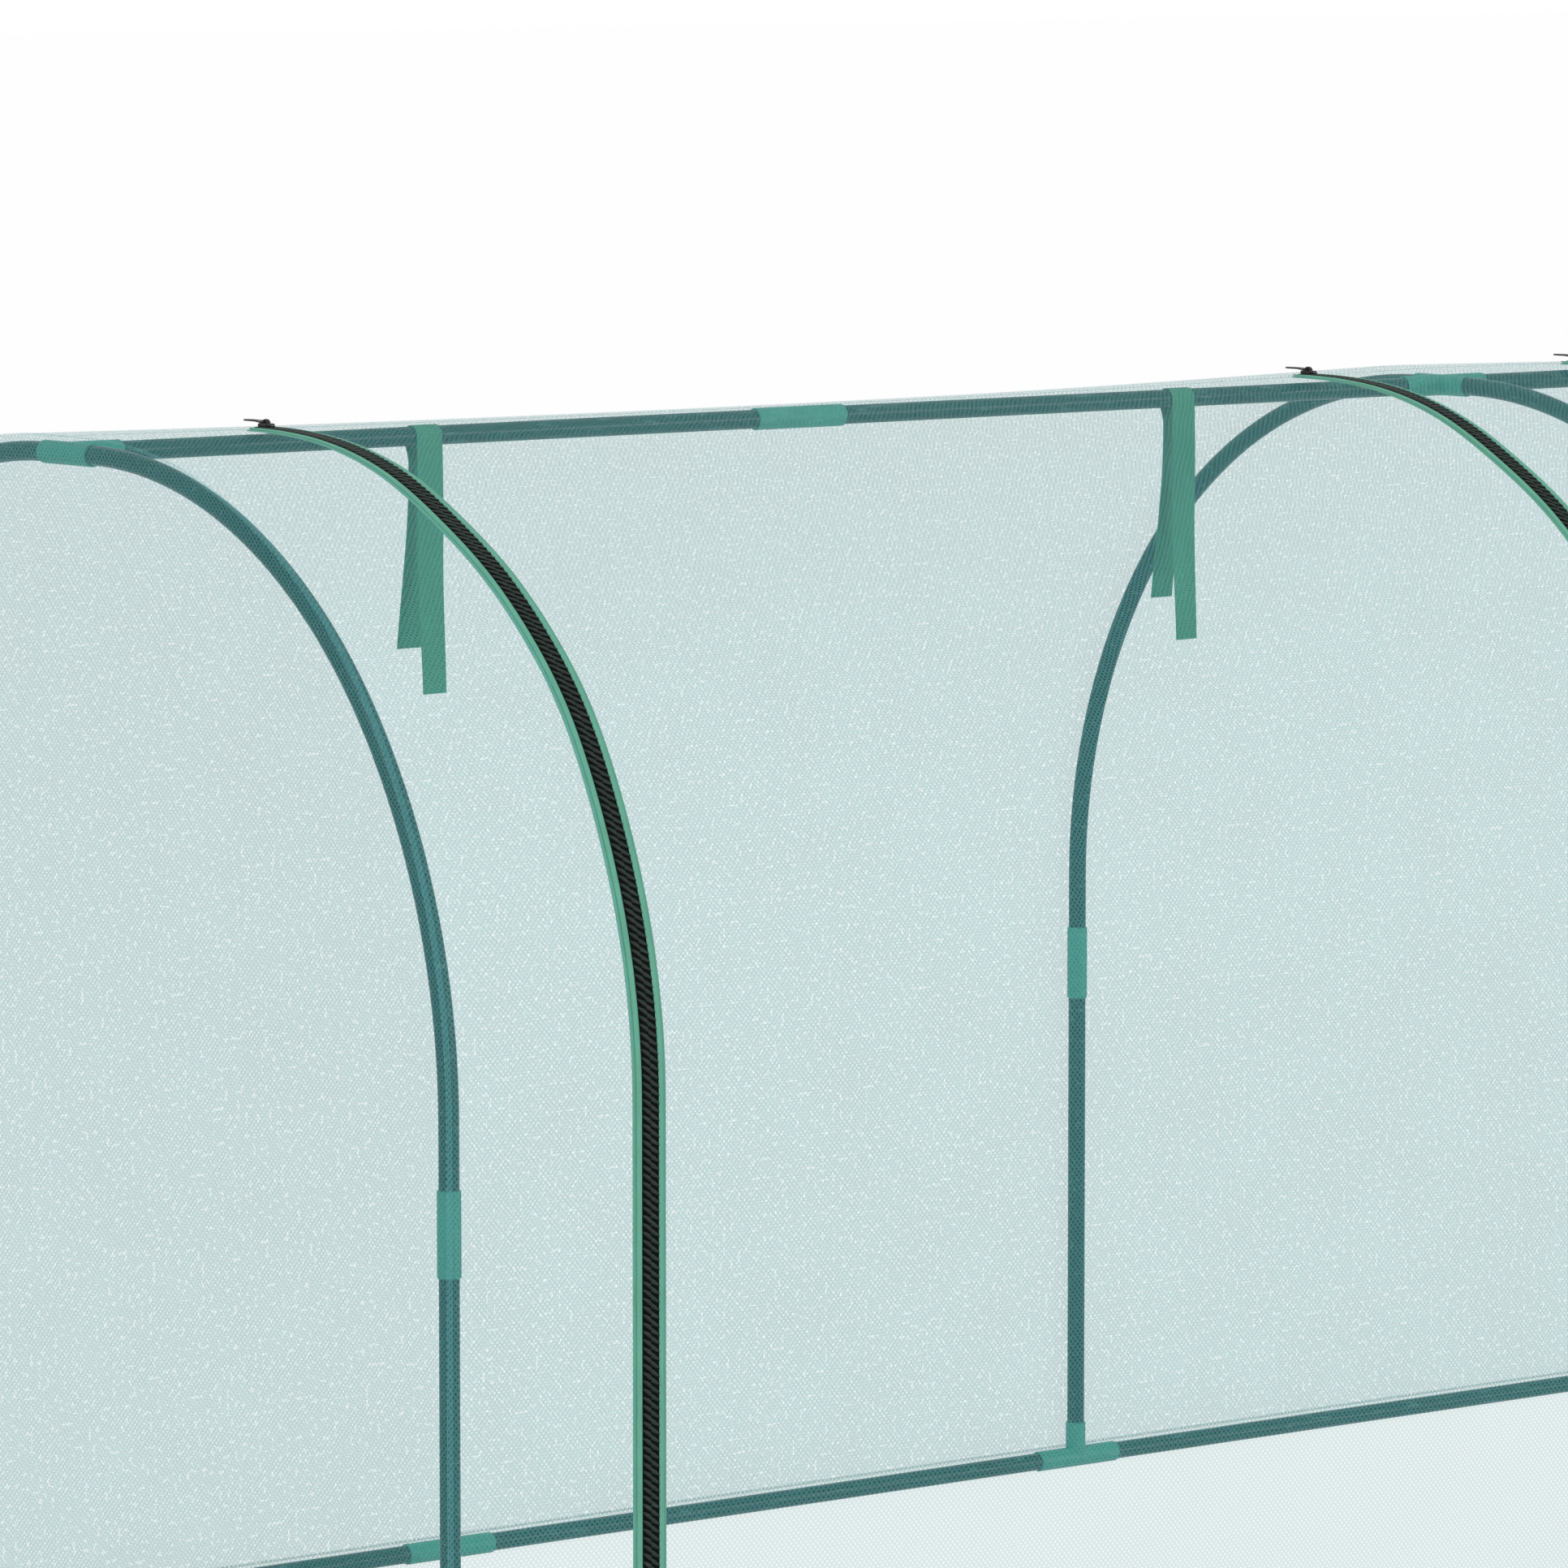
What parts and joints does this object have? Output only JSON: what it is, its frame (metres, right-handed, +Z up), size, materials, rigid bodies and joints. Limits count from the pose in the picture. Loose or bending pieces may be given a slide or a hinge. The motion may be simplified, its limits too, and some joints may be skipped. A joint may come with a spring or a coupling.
{
  "type": "crop cage",
  "caption": "Tunnel-shaped garden crop cage: plug-together hoops and rails of tube under a fitted fine net, with zipped roll-up doors along the front.",
  "frame": {"origin": "on the ground under the ridge, at the middle hoop, the centre of the bounding box's bottom", "axes": "+X along the ridge, +Y towards the back, +Z up; the front with the doors faces -Y"},
  "size_m": [3.0072, 1.0085, 1.0648],
  "materials": {
    "tube": "satin powder coat",
    "fitting": "moulded, satin",
    "net": "fine open mesh",
    "zip": "woven tape bindings beside a black coil zip",
    "slider": "black gloss",
    "tie": "woven tape"
  },
  "bodies": {
    "root": {"bow_front_1": "tube", "bow_front_2": "tube", "bow_front_3": "tube", "bow_back_1": "tube", "bow_back_2": "tube", "bow_back_3": "tube", "leg_front_1": "tube", "leg_front_2": "tube", "leg_front_3": "tube", "leg_back_1": "tube", "leg_back_2": "tube", "leg_back_3": "tube", "leg_sleeves": "fitting", "crown_tee_left": "fitting", "crown_cross": "fitting", "crown_tee_right": "fitting", "corner_front_left": "fitting", "corner_front_right": "fitting", "corner_back_left": "fitting", "corner_back_right": "fitting", "ground_tee_front": "fitting", "ground_tee_back": "fitting", "ridge_left": "tube", "ridge_right": "tube", "ridge_sleeves": "fitting", "rail_front": "tube", "rail_back": "tube", "rail_sleeves": "fitting", "end_bar_left": "tube", "end_bar_right": "tube", "net_corner_left": "net", "net_middle": "net", "net_corner_right": "net", "door_left": "net", "door_right": "net", "net_back": "net", "net_end_left": "net", "net_end_right": "net", "zip_1": "zip", "zip_2": "zip", "zip_3": "zip", "zip_4": "zip", "zip_sliders": "slider", "zip_pulls": "slider", "roll_up_ties": "tie"}
  },
  "joints": []
}
